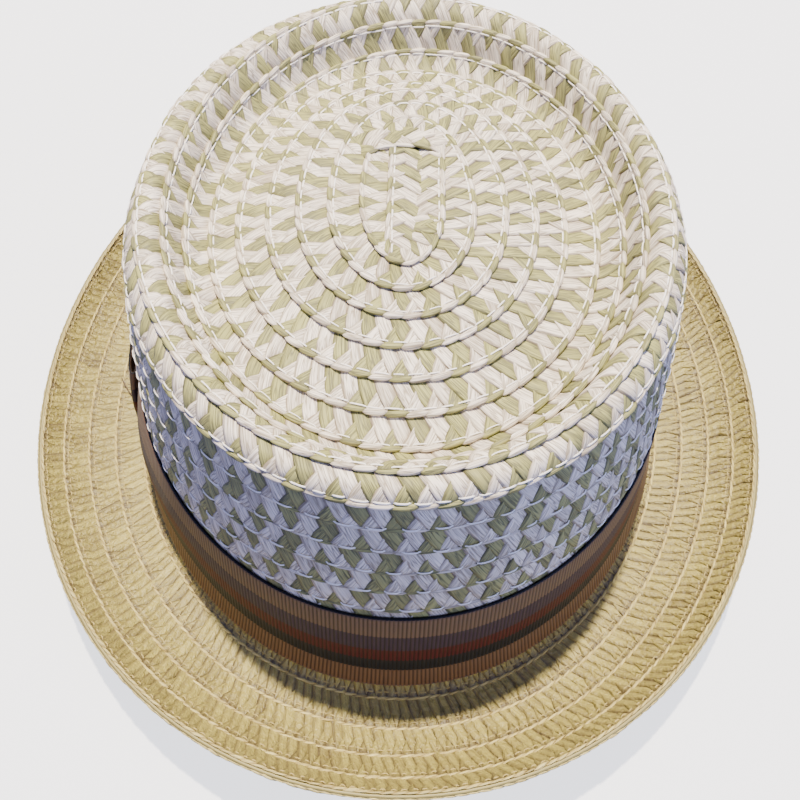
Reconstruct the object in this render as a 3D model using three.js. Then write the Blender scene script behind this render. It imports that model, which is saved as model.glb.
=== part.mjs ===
import * as THREE from "three";

// A pork pie hat of sewn flat straw braid, with a ribbon band and a flat bow.
// Millimetres, +Z up. The hat's front is +Y and its bow is on -X, the wearer's left.
// It stands at z = 0 on the flat inner ring of its brim.

// ---- Driving dimensions ----
const SECTORS = 64; // facets round the head
const GAP = 0.3; // clearance between pieces that touch on the real hat

const STRAW = 2.0; // thickness of the sewn straw
const BEAD = 0.8; // how far a round's rolled edge stands over the round below it
const BEAD_RISE = 0.05; // part of a round over which the bead stands up
const BEAD_TOP = 0.1; // where in its round the bead is highest

const CROWN_HALF_WIDTH = 82.7; // outside of the crown's foot, side to side
const CROWN_HALF_LENGTH = 102.5; // outside of the crown's foot, back to front
const CROWN_FOOT = STRAW + GAP; // the crown stands on the brim's inner ring

const BRIM_INNER_INSET = 2.0; // the brim's hole, inside the foot of the crown
const BRIM_FLAT = 3.0; // flat ring outside the crown's foot
const BRIM_WIDTH = 38.8; // width of the brim along the straw
const BRIM_EDGE_SLOPE = THREE.MathUtils.degToRad(64); // how steep the brim has curled at its edge
const BRIM_ENDS_UP = 4.9; // how much the edge is higher at front and back, and lower at the sides
const BRIM_PITCH = 8.55; // visible width of one round of braid on the brim
const BRIM_ROUNDS = 4;

const RIBBON = 1.0; // thickness of the grosgrain, its backing included
const BAND_BOTTOM = 6.4;
const BAND_TOP = 39.5;

const BOW_ANGLE = THREE.MathUtils.degToRad(91.7); // middle of the bow, round from the back
const BOW_HALF_LENGTH = 30;
const BOW_MIDDLE_UP = 23; // height of the bow's middle line
const LOOP_HALF_WIDTH = 15; // half the ribbon's width at a loop's end
const LOOP_PINCH = 12; // half the ribbon's width where the knot gathers it
const LOOP_OPEN = 1.6; // space between a loop's two layers
const KNOT_HALF_LENGTH = 6;
const BOW_LAYER = GAP + RIBBON + GAP + RIBBON / 2; // wall to the middle of the layer on the band
const KNOT_LAYER = BOW_LAYER + 2 * (RIBBON + GAP); // wall to the middle of the knot's outer layer

// The crown's outer face. Each row is a seam or fold of the braid, counted in rounds from the
// shoulder: negative down the wall, positive over the rim, into the groove and up the domed tip.
// Each column is [inset from the foot's oval, height].
const CROWN_SECTION = [
  { round: -9.9, side: [0, CROWN_FOOT], back: [0, CROWN_FOOT], front: [0, CROWN_FOOT] },
  { round: -5, side: [4.3, 42.8], back: [5.9, 42.8], front: [4.3, 42.8] },
  { round: -1, side: [8.7, 75.8], back: [11.5, 75.8], front: [7.8, 75.8] },
  { round: 0, side: [10.3, 84.0], back: [13.0, 84.0], front: [10.1, 84.0] },
  { round: 0.5, side: [11.7, 87.7], back: [15.1, 87.5], front: [12.1, 87.5] },
  { round: 1, side: [14.1, 90.6], back: [18.8, 88.2], front: [14.7, 90.6] },
  { round: 1.5, side: [17.5, 91.6], back: [22.3, 86.2], front: [18.3, 92.4] },
  { round: 2, side: [20.5, 89.5], back: [24.4, 82.2], front: [22.2, 91.4] },
  { round: 2.5, side: [22.6, 86.1], back: [26.6, 79.2], front: [25.2, 88.4] },
  { round: 3, side: [24.6, 82.7], back: [30.2, 78.0], front: [27.1, 84.7] },
  { round: 3.5, side: [27.2, 79.9], back: [34.2, 78.7], front: [29.2, 81.1] },
  { round: 4, side: [30.6, 78.6], back: [38.3, 80.1], front: [32.6, 78.8] },
  { round: 5, side: [38.8, 80.2], back: [46.2, 82.6], front: [40.7, 79.2] },
  { round: 7, side: [55.0, 84.7], back: [62.5, 85.6], front: [56.3, 84.0] },
  { round: 9, side: [72.0, 85.8], back: [79.2, 86.1], front: [72.7, 86.1] },
  { round: 9.6, side: [77.0, 86.0], back: [84.0, 86.2], front: [77.5, 86.2] },
];
const BAND_SEAM = -5; // the first seam that shows above the band
const SHOULDER = 0; // where the wall turns over into the rim
const DOME_SEAM = 4; // where the groove turns up into the domed tip
const LAST_SEAM = 9; // the innermost seam, round the first strip of braid
const HALF_ROUND = 0.5; // reach either way over which a section's slope is taken

const COLOUR = {
  crownStraw: 0xdcd6bb,
  brimStraw: 0xc4b27c,
  ribbon: 0x3c2a26,
};

// ---- Shapes ----

// A point between the rows of the crown's section, in one of its columns.
function sectionPoint(round, column) {
  const last = CROWN_SECTION.length - 2;
  let i = CROWN_SECTION.findIndex((row) => row.round > round) - 1;
  if (i < 0) i = round < 0 ? 0 : last;
  const [low, high] = [CROWN_SECTION[i], CROWN_SECTION[i + 1]];
  const share = (round - low.round) / (high.round - low.round);
  const [a, b] = [new THREE.Vector2(...low[column]), new THREE.Vector2(...high[column])];
  return a.lerp(b, share);
}

// The same point, moved out from the straw along the section's normal.
function sectionOffset(round, column, offset) {
  const before = sectionPoint(round - HALF_ROUND, column);
  const along = sectionPoint(round + HALF_ROUND, column).sub(before).normalize();
  return sectionPoint(round, column).add(new THREE.Vector2(-along.y, along.x).multiplyScalar(offset));
}

// Angles run round the head from the back, over the left side, to the front.
function crownPoint(round, angle, offset) {
  const [s, c] = [Math.sin(angle), Math.cos(angle)];
  const side = sectionOffset(round, "side", offset);
  const end = sectionOffset(round, c > 0 ? "back" : "front", offset);
  return new THREE.Vector3(
    -(CROWN_HALF_WIDTH - side.x) * s,
    -(CROWN_HALF_LENGTH - end.x) * c,
    side.y * s * s + end.y * c * c,
  );
}

// A point outside the crown's wall, by its height.
function wallPoint(angle, offset, height) {
  const [foot, seam] = CROWN_SECTION;
  const share = (height - CROWN_FOOT) / (seam.side[1] - CROWN_FOOT);
  return crownPoint(foot.round + share * (seam.round - foot.round), angle, offset);
}

// The brim is flat, then an arc: `out` is measured along the straw from the crown's foot.
function brimPoint(out, angle, offset) {
  const [s, c] = [Math.sin(angle), Math.cos(angle)];
  const curl = Math.max(0, out - BRIM_FLAT);
  const radius = (BRIM_WIDTH - BRIM_FLAT) / BRIM_EDGE_SLOPE;
  const slope = curl / radius;
  const reach = Math.min(out, BRIM_FLAT) + radius * Math.sin(slope) - offset * Math.sin(slope);
  const swing = BRIM_ENDS_UP * Math.cos(2 * angle) * (curl / (BRIM_WIDTH - BRIM_FLAT)) ** 2;
  return new THREE.Vector3(
    -(CROWN_HALF_WIDTH + reach) * s,
    -(CROWN_HALF_LENGTH + reach) * c,
    STRAW + radius * (1 - Math.cos(slope)) + offset * Math.cos(slope) + swing,
  );
}

// ---- Solids ----

function ringAround(pointAt) {
  return Array.from({ length: SECTORS }, (_, i) => pointAt((i / SECTORS) * 2 * Math.PI));
}

// A closed body through rings of points. Its ends are joined to each other, or each is capped
// round the ring's middle.
function solidThrough(rings, endsMeet) {
  const size = rings[0].length;
  const points = rings.flat();
  const index = [];
  const links = endsMeet ? rings.length : rings.length - 1;
  for (let r = 0; r < links; r++) {
    const next = (r + 1) % rings.length;
    for (let i = 0; i < size; i++) {
      const j = (i + 1) % size;
      index.push(r * size + i, r * size + j, next * size + i);
      index.push(r * size + j, next * size + j, next * size + i);
    }
  }
  if (!endsMeet) {
    for (const [r, turn] of [[0, 1], [rings.length - 1, 0]]) {
      const middle = new THREE.Vector3();
      for (const point of rings[r]) middle.addScaledVector(point, 1 / size);
      points.push(middle);
      for (let i = 0; i < size; i++) {
        const edge = [r * size + i, r * size + ((i + 1) % size)];
        index.push(edge[turn], edge[1 - turn], points.length - 1);
      }
    }
  }
  if (signedVolume(points, index) < 0) index.reverse();
  return new THREE.BufferGeometry().setFromPoints(points).setIndex(index);
}

function signedVolume(points, index) {
  let volume = 0;
  for (let i = 0; i < index.length; i += 3) {
    const [a, b, c] = [points[index[i]], points[index[i + 1]], points[index[i + 2]]];
    volume += a.dot(new THREE.Vector3().crossVectors(b, c)) / 6;
  }
  return volume;
}

// A strip of ribbon along a row of [t, offset, half width] stations beside the band, where t runs
// round the head from the bow's middle.
function ribbonStrip(stations) {
  const rings = stations.map(([t, offset, halfWidth], i) => {
    const before = stations[Math.max(0, i - 1)];
    const after = stations[Math.min(stations.length - 1, i + 1)];
    const along = new THREE.Vector2(after[0] - before[0], after[1] - before[1]).normalize();
    const half = new THREE.Vector2(-along.y, along.x).multiplyScalar(RIBBON / 2);
    return [[-1, -1], [1, -1], [1, 1], [-1, 1]].map(([face, edge]) =>
      bowPoint(t + face * half.x, offset + face * half.y, BOW_MIDDLE_UP + edge * halfWidth));
  });
  return solidThrough(rings, false);
}

function bowPoint(t, offset, height) {
  return wallPoint(BOW_ANGLE + t / CROWN_HALF_LENGTH, offset, height);
}

// ---- Pieces ----

// Straw shell: beaded rounds outside, smooth inside, open below. The inner face has a point at each
// row of the section but the first fold after the shoulder, which is too short to follow inside.
function crownShell() {
  const inside = -STRAW;
  const outer = [[CROWN_SECTION[0].round, 0]];
  for (let seam = BAND_SEAM; seam <= LAST_SEAM; seam++) {
    outer.push([seam - BEAD_RISE, 0], [seam + BEAD_TOP, BEAD]);
    if (seam >= SHOULDER && seam < DOME_SEAM) outer.push([seam + HALF_ROUND, BEAD / 2]);
  }
  const folds = CROWN_SECTION.slice(1, -1).filter((row) => row.round !== HALF_ROUND);
  const inner = [[CROWN_SECTION[0].round, inside], ...folds.map((row) => [row.round, inside])];
  const rings = [...outer.reverse(), ...inner].map(([round, offset]) =>
    ringAround((angle) => crownPoint(round, angle, offset)));
  for (const foot of [rings[outer.length - 1], rings[outer.length]]) {
    for (const point of foot) point.z = CROWN_FOOT;
  }
  return solidThrough(rings, false);
}

// Beaded rounds above, a smooth underside whose inner ring is flat.
function brimRing() {
  const above = [[-BRIM_INNER_INSET, 0]];
  for (let round = BRIM_ROUNDS; round >= 0; round--) {
    const seam = BRIM_WIDTH - round * BRIM_PITCH;
    above.push([seam - BEAD_TOP * BRIM_PITCH, BEAD]);
    above.push([seam + (round ? BEAD_RISE * BRIM_PITCH : 0), 0]);
  }
  const below = [[-BRIM_INNER_INSET, -STRAW], [BRIM_FLAT, -STRAW]];
  for (let round = BRIM_ROUNDS - 1; round >= 0; round--) {
    below.push([BRIM_WIDTH - round * BRIM_PITCH, -STRAW]);
  }
  const rings = [...above, ...below.reverse()].map(([out, offset]) =>
    ringAround((angle) => brimPoint(out, angle, offset)));
  return solidThrough(rings, true);
}

// The ribbon lies against the wall, from just over the brim.
function bandRing() {
  const [near, far] = [GAP, GAP + RIBBON];
  const middle = (BAND_BOTTOM + BAND_TOP) / 2;
  const corners = [
    [near, BAND_BOTTOM], [far, BAND_BOTTOM], [far, middle],
    [far, BAND_TOP], [near, BAND_TOP], [near, middle],
  ];
  const rings = corners.map(([offset, height]) =>
    ringAround((angle) => wallPoint(angle, offset, height)));
  return solidThrough(rings, true);
}

// One loop: out along the band, round its end and back over itself to the knot.
function bowLoop(direction) {
  const turn = (RIBBON + LOOP_OPEN) / 2;
  const end = BOW_HALF_LENGTH - turn - RIBBON / 2;
  const start = GAP + RIBBON / 2;
  const knotSide = KNOT_HALF_LENGTH + RIBBON; // the loop starts to widen a little past the knot
  const stations = [
    [start, BOW_LAYER, LOOP_PINCH], [knotSide, BOW_LAYER, LOOP_PINCH],
    [end / 2, BOW_LAYER, LOOP_HALF_WIDTH], [end, BOW_LAYER, LOOP_HALF_WIDTH],
  ];
  for (const step of [1, 2, 3]) {
    const a = (step / 4) * Math.PI;
    stations.push([end + turn * Math.sin(a), BOW_LAYER + turn * (1 - Math.cos(a)), LOOP_HALF_WIDTH]);
  }
  const over = BOW_LAYER + 2 * turn;
  const pinched = BOW_LAYER + RIBBON + GAP;
  stations.push([end, over, LOOP_HALF_WIDTH], [end / 2, over, LOOP_HALF_WIDTH]);
  stations.push([knotSide + turn, (over + pinched) / 2, LOOP_PINCH + turn]);
  stations.push([knotSide, pinched, LOOP_PINCH], [start, pinched, LOOP_PINCH]);
  return ribbonStrip(stations.map(([t, offset, halfWidth]) => [direction * t, offset, halfWidth]));
}

// A short strip of ribbon bent round both loops at the bow's middle.
function bowKnot() {
  const edge = LOOP_PINCH + GAP + RIBBON / 2;
  const corner = RIBBON / 2;
  const legs = [
    [BOW_LAYER, edge], [KNOT_LAYER - corner, edge], [KNOT_LAYER, edge - corner],
    [KNOT_LAYER, corner - edge], [KNOT_LAYER - corner, -edge], [BOW_LAYER, -edge],
  ];
  const rings = legs.map(([offset, up], i) => {
    const before = legs[Math.max(0, i - 1)];
    const after = legs[Math.min(legs.length - 1, i + 1)];
    const along = new THREE.Vector2(after[0] - before[0], after[1] - before[1]).normalize();
    const half = new THREE.Vector2(-along.y, along.x).multiplyScalar(RIBBON / 2);
    return [[-1, -1], [1, -1], [1, 1], [-1, 1]].map(([face, side]) =>
      bowPoint(side * KNOT_HALF_LENGTH, offset + face * half.x, BOW_MIDDLE_UP + up + face * half.y));
  });
  return solidThrough(rings, false);
}

// ---- The hat ----

function mesh(name, geometry, material) {
  const piece = new THREE.Mesh(geometry, material);
  piece.name = name;
  return piece;
}

const crownStraw = new THREE.MeshStandardMaterial({ color: COLOUR.crownStraw, roughness: 0.75, metalness: 0 });
const brimStraw = new THREE.MeshStandardMaterial({ color: COLOUR.brimStraw, roughness: 0.7, metalness: 0 });
const ribbon = new THREE.MeshStandardMaterial({ color: COLOUR.ribbon, roughness: 0.6, metalness: 0 });

const hat = new THREE.Group();
hat.add(
  mesh("crown", crownShell(), crownStraw),
  mesh("brim", brimRing(), brimStraw),
  mesh("hat_band", bandRing(), ribbon),
  mesh("bow_back_loop", bowLoop(-1), ribbon),
  mesh("bow_front_loop", bowLoop(1), ribbon),
  mesh("bow_knot", bowKnot(), ribbon),
);

export default hat;
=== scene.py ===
# %% [markdown]
# # A pork pie hat of sewn straw braid
# A straw braid is a flat plait of five paper-like strands. The hatter starts with a short strip at the
# middle of the tip and sews the braid round and round it, each round lapping over the one outside it.
# The same spiral turns down into the groove, up over the rim, down the wall and out into the brim.
# Each stretch of a strand that shows is a small curved sheet of its own here, laid on smooth surfaces
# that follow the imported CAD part.

import math

import bpy
import numpy as np
from mathutils import Matrix, Vector


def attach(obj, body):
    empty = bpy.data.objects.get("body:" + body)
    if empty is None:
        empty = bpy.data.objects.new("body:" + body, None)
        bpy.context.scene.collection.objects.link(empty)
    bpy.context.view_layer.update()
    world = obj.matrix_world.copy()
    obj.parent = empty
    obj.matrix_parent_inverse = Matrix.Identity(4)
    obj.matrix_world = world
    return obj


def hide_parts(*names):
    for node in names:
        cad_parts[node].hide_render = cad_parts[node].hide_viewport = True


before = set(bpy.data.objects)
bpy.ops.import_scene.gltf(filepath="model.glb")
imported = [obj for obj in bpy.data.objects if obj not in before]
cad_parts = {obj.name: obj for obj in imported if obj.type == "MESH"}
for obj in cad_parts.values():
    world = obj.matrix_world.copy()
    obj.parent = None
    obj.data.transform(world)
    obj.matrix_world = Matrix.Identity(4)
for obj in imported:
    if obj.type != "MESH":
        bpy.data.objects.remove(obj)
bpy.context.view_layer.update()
MM = 0.001
SEED = 57
rng = np.random.default_rng(SEED)

# %% [markdown]
# ## The crown's surface
# The crown's outer face is a section swept round an oval. The section is a short table of folds, and
# its first column counts rounds of braid from the shoulder. Three columns hold the section at the
# hat's side, back and front, and the face blends between them with the angle round the head. A smooth
# curve through the rows is better than straight lines, because braid bends without corners.

# %% Crown section
CROWN_HALF_WIDTH = 82.7
CROWN_HALF_LENGTH = 102.5
CROWN_ROWS = [  # round, side inset, side height, back inset, back height, front inset, front height
    (-9.9, 0.0, 2.3, 0.0, 2.3, 0.0, 2.3),
    (-5.0, 4.3, 42.8, 5.9, 42.8, 4.3, 42.8),
    (-1.0, 8.7, 75.8, 11.5, 75.8, 7.8, 75.8),
    (0.0, 10.3, 84.0, 13.0, 84.0, 10.1, 84.0),
    (0.5, 11.7, 87.7, 15.1, 87.5, 12.1, 87.5),
    (1.0, 14.1, 90.6, 18.8, 88.2, 14.7, 90.6),
    (1.5, 17.5, 91.6, 22.3, 86.2, 18.3, 92.4),
    (2.0, 20.5, 89.5, 24.4, 82.2, 22.2, 91.4),
    (2.5, 22.6, 86.1, 26.6, 79.2, 25.2, 88.4),
    (3.0, 24.6, 82.7, 30.2, 78.0, 27.1, 84.7),
    (3.5, 27.2, 79.9, 34.2, 78.7, 29.2, 81.1),
    (4.0, 30.6, 78.6, 38.3, 80.1, 32.6, 78.8),
    (5.0, 38.8, 80.2, 46.2, 82.6, 40.7, 79.2),
    (7.0, 55.0, 84.7, 62.5, 85.6, 56.3, 84.0),
    (9.0, 72.0, 85.8, 79.2, 86.1, 72.7, 86.1),
    (10.3, 82.7, 86.2, 90.0, 86.3, 84.0, 86.3),
]


def distances(points):
    """How far along a line each of its points lies."""
    return np.concatenate([[0], np.cumsum(np.linalg.norm(np.diff(points, axis=0), axis=1))])


def smooth_table(rows, step=0.02):
    """The rows joined by cubic pieces with one slope at each row, sampled finely."""
    table = np.array(rows)
    knots, values = table[:, 0], table[:, 1:]
    slopes = np.gradient(values, knots, axis=0)
    at = np.arange(knots[0], knots[-1] + step / 2, step)
    i = np.clip(np.searchsorted(knots, at, side="right") - 1, 0, len(knots) - 2)
    span = (knots[i + 1] - knots[i])[:, None]
    x = (at[:, None] - knots[i][:, None]) / span
    sampled = (
        (2 * x**3 - 3 * x**2 + 1) * values[i]
        + (x**3 - 2 * x**2 + x) * span * slopes[i]
        + (3 * x**2 - 2 * x**3) * values[i + 1]
        + (x**3 - x**2) * span * slopes[i + 1]
    )
    return at, sampled


section_at, section = smooth_table(CROWN_ROWS)
print("crown section:", len(CROWN_ROWS), "rows, smoothed to", len(section_at))

# %% Crown face
def crown_face(rounds, angle):
    """Points of the crown's outer face. Angles run from the back, over the left side, to the front."""
    side_in, side_up, back_in, back_up, front_in, front_up = (
        np.interp(rounds, section_at, column) for column in section.T
    )
    sine, cosine = np.sin(angle), np.cos(angle)
    end_in = np.where(cosine > 0, back_in, front_in)
    end_up = np.where(cosine > 0, back_up, front_up)
    return np.stack(
        [
            -(CROWN_HALF_WIDTH - side_in) * sine,
            -(CROWN_HALF_LENGTH - end_in) * cosine,
            side_up * sine**2 + end_up * cosine**2,
        ],
        axis=-1,
    )


print("crown's back wall at mid-height:", crown_face(-5.0, 0.0).round(1), "mm")

# %% [markdown]
# ## The brim's surface
# The brim is flat where the hat rests on it and then curls up in an arc, a little higher at the front
# and back. Its innermost round turns up the foot of the wall, behind the ribbon. It is measured along
# the straw, outwards from the crown's foot.

# %% Brim section
STRAW = 2.0  # height of the brim's upper face where the hat rests
BRIM_FLAT = 3.0  # where the curl starts
BRIM_WIDTH = 38.8  # from the crown's foot to the edge, along the straw
BRIM_EDGE_SLOPE = math.radians(64)
BRIM_ENDS_UP = 4.9  # how much higher the edge is at the front and back, and lower at the sides
BRIM_RADIUS = (BRIM_WIDTH - BRIM_FLAT) / BRIM_EDGE_SLOPE
FOOT_CURVE = 4.0  # radius of the turn from the brim up the wall
FOOT_START = 3.8  # where that turn begins
FOOT_LEAN = 0.1  # how far the wall leans in for each millimetre up
FOOT_TURN = math.pi / 2 - 0.08  # how far round it goes


def brim_face(out, angle, lift=0.0):
    """Points of the brim's upper face, lifted off it by some millimetres."""
    level = np.maximum(out, FOOT_START)
    slope = (level - BRIM_FLAT) / BRIM_RADIUS
    turn = np.clip((FOOT_START - out) / FOOT_CURVE, 0, FOOT_TURN)
    up_wall = np.maximum(FOOT_START - FOOT_CURVE * FOOT_TURN - out, 0)
    reach = BRIM_FLAT + BRIM_RADIUS * np.sin(slope) - FOOT_CURVE * np.sin(turn) - FOOT_LEAN * up_wall
    height = STRAW + BRIM_RADIUS * (1 - np.cos(slope)) + FOOT_CURVE * (1 - np.cos(turn)) + up_wall
    share = (level - BRIM_FLAT) / (BRIM_WIDTH - BRIM_FLAT)
    height = height + BRIM_ENDS_UP * np.cos(2 * angle) * share**2
    reach = reach - lift * np.sin(slope) + lift * np.sin(turn)
    height = height + lift * np.cos(slope) * np.cos(turn)
    return np.stack(
        [
            -(CROWN_HALF_WIDTH + reach) * np.sin(angle),
            -(CROWN_HALF_LENGTH + reach) * np.cos(angle),
            height,
        ],
        axis=-1,
    )


print("brim reach:", round(float(-brim_face(BRIM_WIDTH, math.pi / 2)[0] - CROWN_HALF_WIDTH), 1), "mm")

# %% [markdown]
# ## Rounds of braid
# A round is one turn of the spiral. Its outer edge is the line where the strands turn back, which
# shows as a rolled bead. Two coordinates in millimetres lie on the straw: `along` runs round the head
# and `inward` from the bead towards the round before it. A third, `lift`, stands off the straw. They
# keep a strand's shape the same on wall, rim, tip and brim.

# %% The frame along a round
CROWN_PITCH = 8.33  # visible width of a round on the crown
BRIM_PITCH = 8.55
ANGLE_STEP = 1e-4  # steps for measuring slopes
ROUND_STEP = 1e-3
SHORTEST = 1e-12  # so that nothing is divided by zero
CROWN_SUNK = 1.0  # the leaves bulge past the smooth face, so they start a little inside it
BRIM_SUNK = 0.4
BRIM_HEM = 0.2  # the last bead's middle, in from the brim's edge
BAND_TOP = 39.5  # height of the ribbon's upper edge, which presses the straw flat below it
PRESSED_FROM = BAND_TOP - 0.4
PRESSED_OVER = 1.6  # how far up the straw takes to stand free again
PRESSED_LIFT = -0.25  # where pressed straw lies, off the smooth face
PRESSED_RISE = 0.02  # share of its bulge that pressed straw keeps
FACE_STRAW = -1.7  # straw that lies deeper than this is on the wrong side, and keeps its form
LOWER_WALL = -3  # only the seams under this one are pressed
TIP_SEAM = 5  # from here inwards a round joins the next one sooner
TIP_BEND, WALL_BEND = 1.7, 3.0
LAST_SEAM = 9  # the innermost round
BEND_END = -1.1  # the angle where its bend ends


def unit(vectors):
    """Vectors made one long. One with no length, as at the crown's middle, points up."""
    length = np.linalg.norm(vectors, axis=-1, keepdims=True)
    up = np.eye(vectors.shape[-1])[-1]
    return np.where(length > 0, vectors / np.maximum(length, SHORTEST), up)


def seam_round(seam, angle):
    """Where a crown seam lies at an angle. Past a whole turn it runs on as the next seam inwards."""
    turns = np.floor((math.pi - angle) / (2 * math.pi))
    seam = seam + turns
    angle = angle + turns * 2 * math.pi
    bend = np.where(seam >= TIP_SEAM, TIP_BEND, WALL_BEND)
    return seam - 0.5 * np.sign(angle) * np.abs(angle / math.pi) ** bend


def off_crown(at, angle, lift):
    """Points that stand straight off the crown's outer face."""
    here = crown_face(at, angle)
    round_way = crown_face(at, angle + ANGLE_STEP) - here
    in_way = crown_face(at + ROUND_STEP, angle) - here
    return here + unit(np.cross(in_way, round_way)) * lift[..., None]


seam_start, seam_end = float(seam_round(-1, math.pi)), float(seam_round(-1, -math.pi))
print("seam -1 runs from round", seam_start, "to", seam_end, "in one turn")

# %% Rounds
class BraidRound:
    """What all rounds share: where each millimetre along the bead lies."""

    mirrored = False
    ends = -math.inf  # the angle past which it has no leaves

    def measure(self, past=0.8, samples=1801):
        """Finds the bead's length from its middle to each angle, a little past a whole turn."""
        self.place_at = np.linspace(math.pi + past, -math.pi - past, samples)
        flat = np.zeros(samples)
        length = distances(self.face(self.place_at, flat, flat))
        self.length_at = length - np.interp(-math.pi, -self.place_at, length)
        self.total = float(np.interp(math.pi, -self.place_at, self.length_at))

    def points(self, along, inward, lift):
        return self.face(np.interp(along, self.length_at, self.place_at), inward, lift)


class CrownRound(BraidRound):
    """One turn of the spiral on the crown."""

    def __init__(self, seam):
        self.seam = seam
        if seam == LAST_SEAM:  # it runs straight after its bend, where the first strip takes over
            self.ends = BEND_END
        self.measure()

    def face(self, angle, inward, lift):
        at = seam_round(self.seam, angle) + inward / CROWN_PITCH
        height = crown_face(at, angle)[..., 2]
        free = np.clip((height - PRESSED_FROM) / PRESSED_OVER, PRESSED_RISE, 1)
        lift = lift - CROWN_SUNK
        pressed = (at < LOWER_WALL) & (lift > FACE_STRAW)
        return off_crown(at, angle, np.where(pressed, lift * free + PRESSED_LIFT * (1 - free), lift))


class BrimRound(BraidRound):
    """One turn of the braid on the brim, counted inwards from the edge."""

    def __init__(self, number):
        self.bead_at = BRIM_WIDTH - BRIM_HEM - number * BRIM_PITCH
        self.measure()

    def face(self, angle, inward, lift):
        return brim_face(self.bead_at - inward, angle, lift - BRIM_SUNK)


class Reverse(BraidRound):
    """The wrong side of a round, which shows inside the crown and under the brim."""

    mirrored = True

    def __init__(self, front, depth):  # depth of its middle under the round's face
        self.front, self.depth = front, depth
        self.place_at, self.length_at, self.total = front.place_at, front.length_at, front.total

    def face(self, place, inward, lift):
        return self.front.face(place, inward, -self.depth - lift)


def crown_rounds(first, past):
    """Some rounds of the crown, numbered inwards from the shoulder. The wall's are negative."""
    return [CrownRound(seam) for seam in range(first, past)]


BRIM_ROUNDS = [BrimRound(number) for number in range(5)]
for name, braid_round in (("wall", CrownRound(-5)), ("rim", CrownRound(0)), ("brim edge", BRIM_ROUNDS[0])):
    print("a round at the", name, "is", round(braid_round.total), "mm long")

# %% [markdown]
# ## One strand's leaf
# Seen from outside, a five-strand braid shows two kinds of leaf. The long one slants down to the bead
# and its left edge lies on top; the short one rises from the bead between two long ones. Each dives
# under its right-hand neighbour. Each leaf could be a flat polygon with a bump, but then no edge would
# stand up and catch the light, so each is a small curved sheet whose sides turn down.

# %% Sizes of the plaits
LEAF_FOOT = 0.9  # where the leaves come out of the bead
LEAF_ROOT = 0.6  # how far they start inside it
TUCK = 0.7  # how far a covered edge runs on under its neighbour
HEAD_TUCK = 1.8  # how far a long leaf runs on under the round before
TURN_DOWN = 0.6  # how far a leaf's upper edge is turned down
LONG_DIP, SHORT_DIP = 0.35, 0.3  # how far a leaf's root goes down
SHORT_LOWER = 0.04  # how far a short leaf lies under the long ones
SLANT_LENGTH = 1.15  # length along a strand for each millimetre inwards
BEAD_SLANT, BEAD_CLIMB = 0.24, 0.16  # how far half a bead's roll moves inwards and up
BEAD_FLAT = 0.85  # its height for its width
EDGE_SHADED, SIDE_SHADED = 0.12, 0.72  # painted shade up to the one share across a leaf, and past the other
TURNED = [0, 3, 2, 1]  # a face's corners the other way round


class Plait:
    """The sizes of one braid, in millimetres. Each braid names those that differ from these."""

    pitch = CROWN_PITCH  # visible width of a round
    strand = 4.7  # one strand's width along the bead
    rise = 0.62  # how far a strand bulges
    bead = 0.85  # radius of the rolled edge
    shingle = 1.15  # how far a bead stands over the round outside it
    rounded = 0.35  # how far a strand's sides bow out
    slant = 0.56  # how far a strand moves along for each millimetre inwards
    tuck_shade = 0.55  # painted shade: how much darker the paper is drawn where it is tucked in
    hole_shade = 0.0  # painted shade in the hollows beside the bead, where the needle's holes are
    uneven = 0.08  # how much the strands differ
    fine = True  # whether its shapes have more faces

    def __init__(self, **sizes):
        for name, size in sizes.items():
            setattr(self, name, size)
        self.apex = LEAF_FOOT + self.strand / (2 * self.slant)  # where two long leaves meet over a short one

    def over(self, inward):
        """How far a round stands over the one outside it."""
        return self.shingle * np.clip(1 - inward / self.pitch, 0, 1)


crown_plait = Plait()
wall_plait = Plait(bead=0.5, shingle=1.0, rounded=0.45)
half_plait = Plait(pitch=7.4, bead=0.75, shingle=0.9, slant=0.75)
inside_plait = Plait(rise=0.4, bead=0.4, shingle=0.3, rounded=0.2, fine=False)
brim_sizes = {"pitch": BRIM_PITCH, "strand": 2.9, "bead": 0.44, "uneven": 0.12, "fine": False}
brim_plait = Plait(rise=0.5, shingle=0.42, rounded=0.15, slant=0.36, tuck_shade=0.6, hole_shade=0.5, **brim_sizes)
under_plait = Plait(rise=0.22, shingle=0.2, rounded=0.1, tuck_shade=0.3, **brim_sizes)
print("long leaves meet", round(crown_plait.apex, 1), "mm from the bead on the crown")

# %% Leaf shapes
LEAF_THICK, LEAF_CREST = 0.1, 0.95  # heights at the diving side and over it, as shares of the rise
LEAF_SHORN = 0.2  # share of the arch that is missing at the upper edge, so that it stands up
END_HEIGHT, MIDDLE_MORE = 0.75, 0.3  # a long leaf bulges more in its middle
LEAST_WIDTH = 0.1  # of a short leaf, at its tip
BEAD_INWARD, BEAD_LIFT = 0.1, 0.05  # the middle of a bead
BEAD_HALF = 0.62  # half its length, as a share of the strand's width
COARSE_BEAD_HALF = 0.75  # with fewer faces it has to run on further


def leaf_profile(across):
    """Height across a strand, from its upper edge over the crest to the side that dives."""
    return LEAF_THICK + LEAF_CREST * np.sin(math.pi * (LEAF_SHORN + (1 - LEAF_SHORN) * across))


def painted_edge_shade(plait, across, share):
    """Painted shade: the paper is drawn darker at its creased edges and where it comes out of the bead."""
    side = np.clip(1 - across / EDGE_SHADED, 0, 1) + np.clip((across - SIDE_SHADED) / (1 - SIDE_SHADED), 0, 1)
    foot = np.clip(1 - share / EDGE_SHADED, 0, 1)
    return -plait.tuck_shade * np.clip(side + foot, 0, 1) - plait.hole_shade * foot * side


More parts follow.
